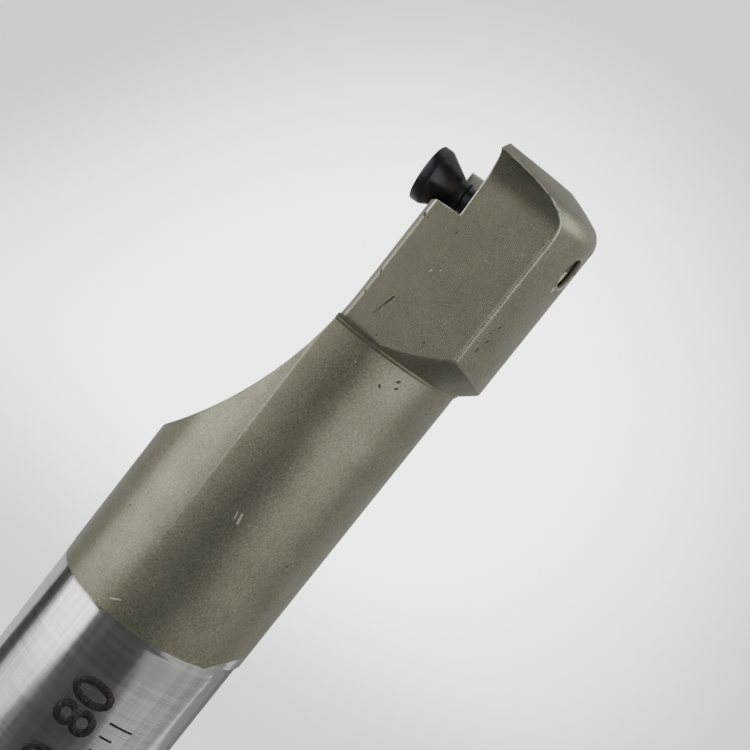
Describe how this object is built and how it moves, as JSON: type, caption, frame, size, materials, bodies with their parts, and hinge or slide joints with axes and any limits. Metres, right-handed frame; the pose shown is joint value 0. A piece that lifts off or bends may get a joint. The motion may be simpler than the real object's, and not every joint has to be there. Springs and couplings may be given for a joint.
{
  "type": "threading boring bar",
  "caption": "Round-shank internal threading bar with an empty three-cornered insert seat, a lipped head and a clamp screw.",
  "frame": {"origin": "centre of the shank's rear face", "axes": "+Z along the shank towards the head; -X is the side that the clamp screw and the insert seat face; -Y is the side that the cutting corner points to"},
  "size_m": [0.0276, 0.0303, 0.2],
  "materials": {
    "bar_steel": "satin nickel over fine machined steel, ground bright on the shank",
    "screw_steel": "black oxide, lightly oiled"
  },
  "bodies": {
    "root": {"bar": "bar_steel", "clamp_screw": "screw_steel"}
  },
  "joints": []
}
